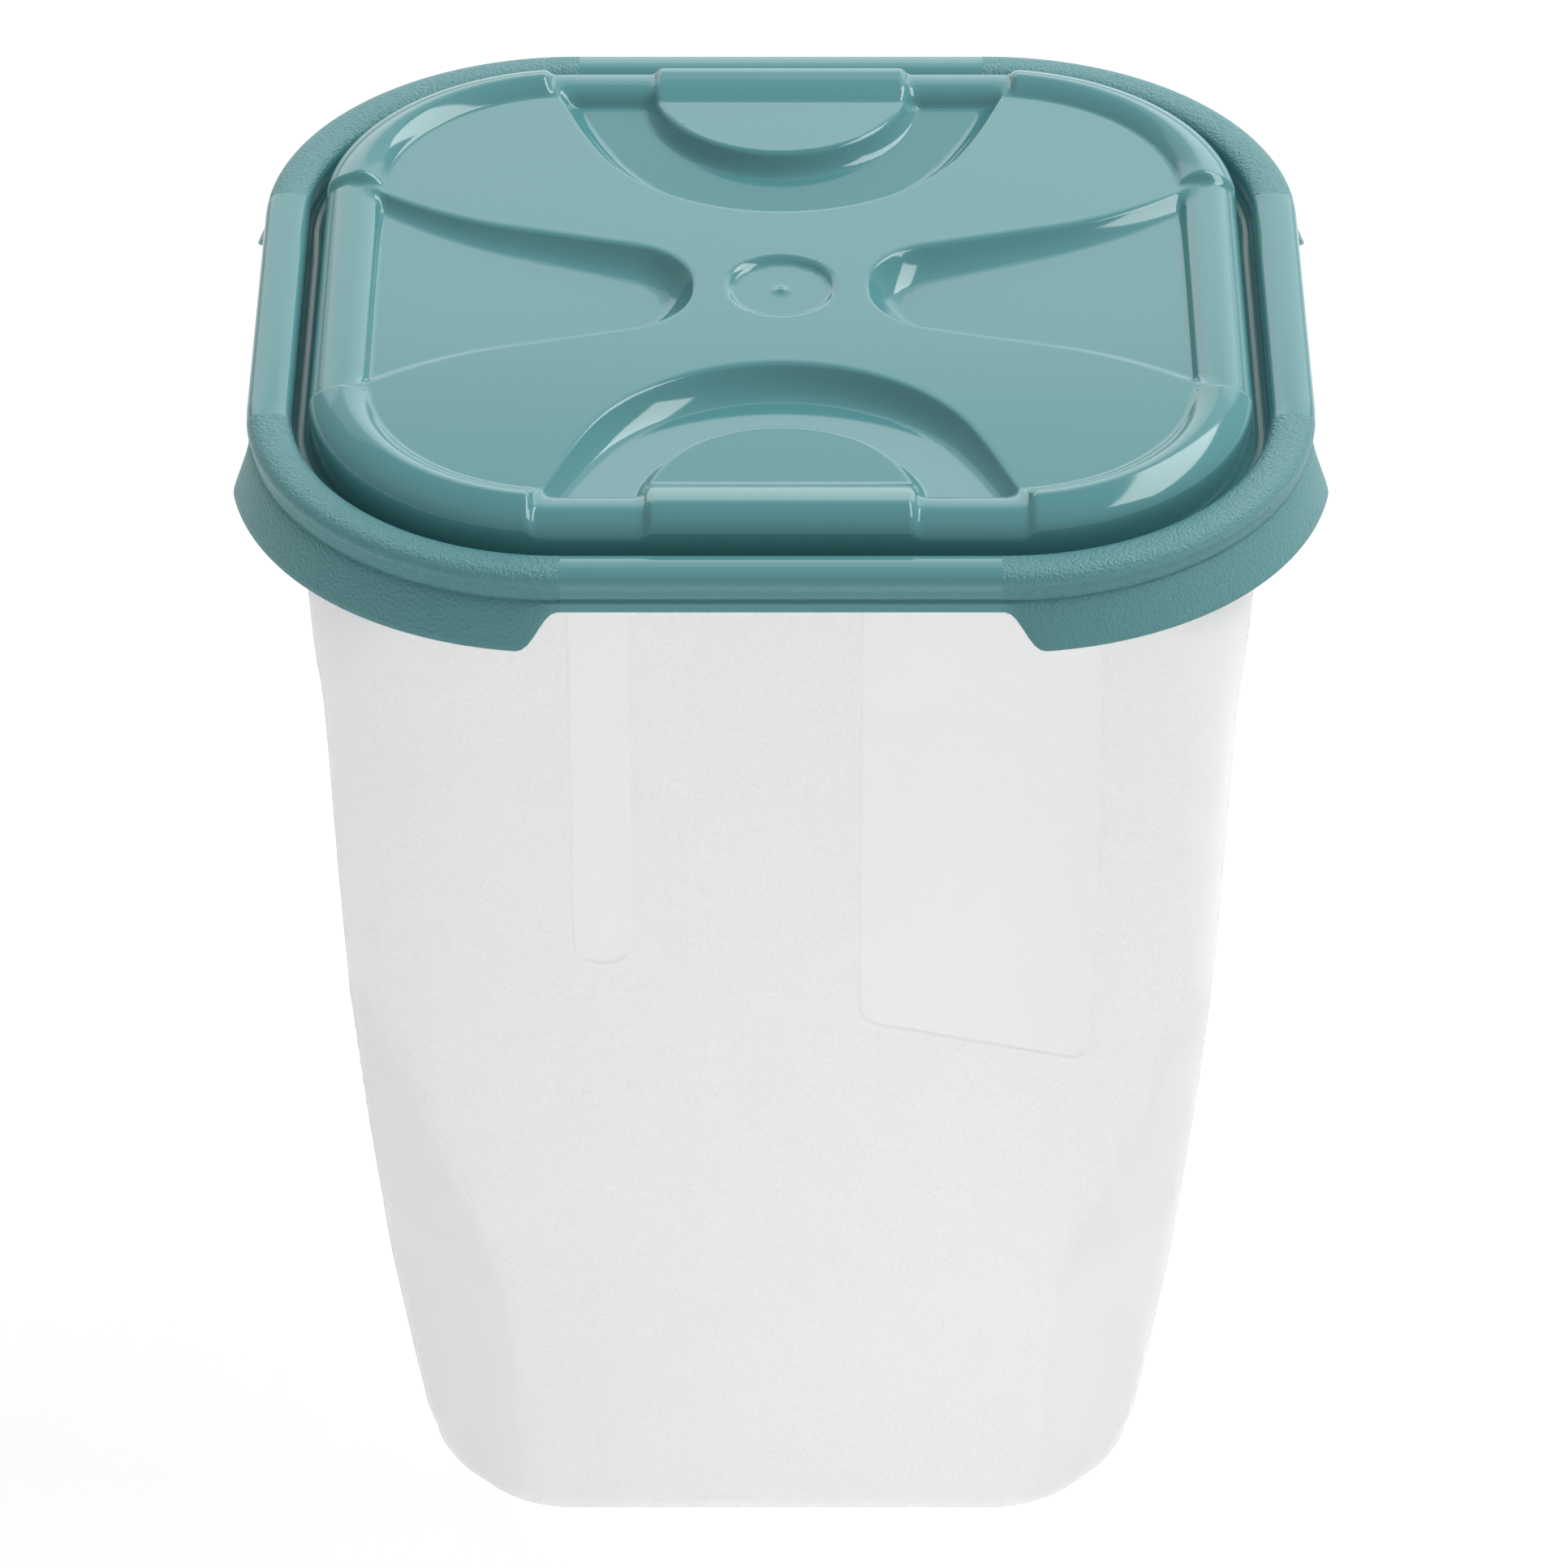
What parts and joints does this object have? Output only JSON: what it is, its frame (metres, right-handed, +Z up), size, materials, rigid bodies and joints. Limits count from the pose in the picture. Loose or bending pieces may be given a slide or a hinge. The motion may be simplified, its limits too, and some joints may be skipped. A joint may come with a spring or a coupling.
{
  "type": "food storage container",
  "caption": "Tall rounded-square food storage container: frosted translucent tapering tub with faceted lower corners and an opaque snap lid with an embossed panel.",
  "frame": {"origin": "middle of the tub's base, on the surface it stands on", "axes": "+Z up, -Y towards the front, +X to the right as seen from the front"},
  "size_m": [0.143, 0.1332, 0.1788],
  "materials": {
    "frosted_tub": "frosted translucent polypropylene, finely grained outside",
    "teal_lid": "glossy opaque teal polypropylene, spark-grained at the corners of the rim"
  },
  "bodies": {
    "tub": {"tub": "frosted_tub"},
    "lid": {"lid": "teal_lid"}
  },
  "joints": [
    {"name": "lid_lift", "type": "slide", "parent": "tub", "child": "lid", "axis": [0, 0, 1], "range_m": [0, 0.1]}
  ]
}
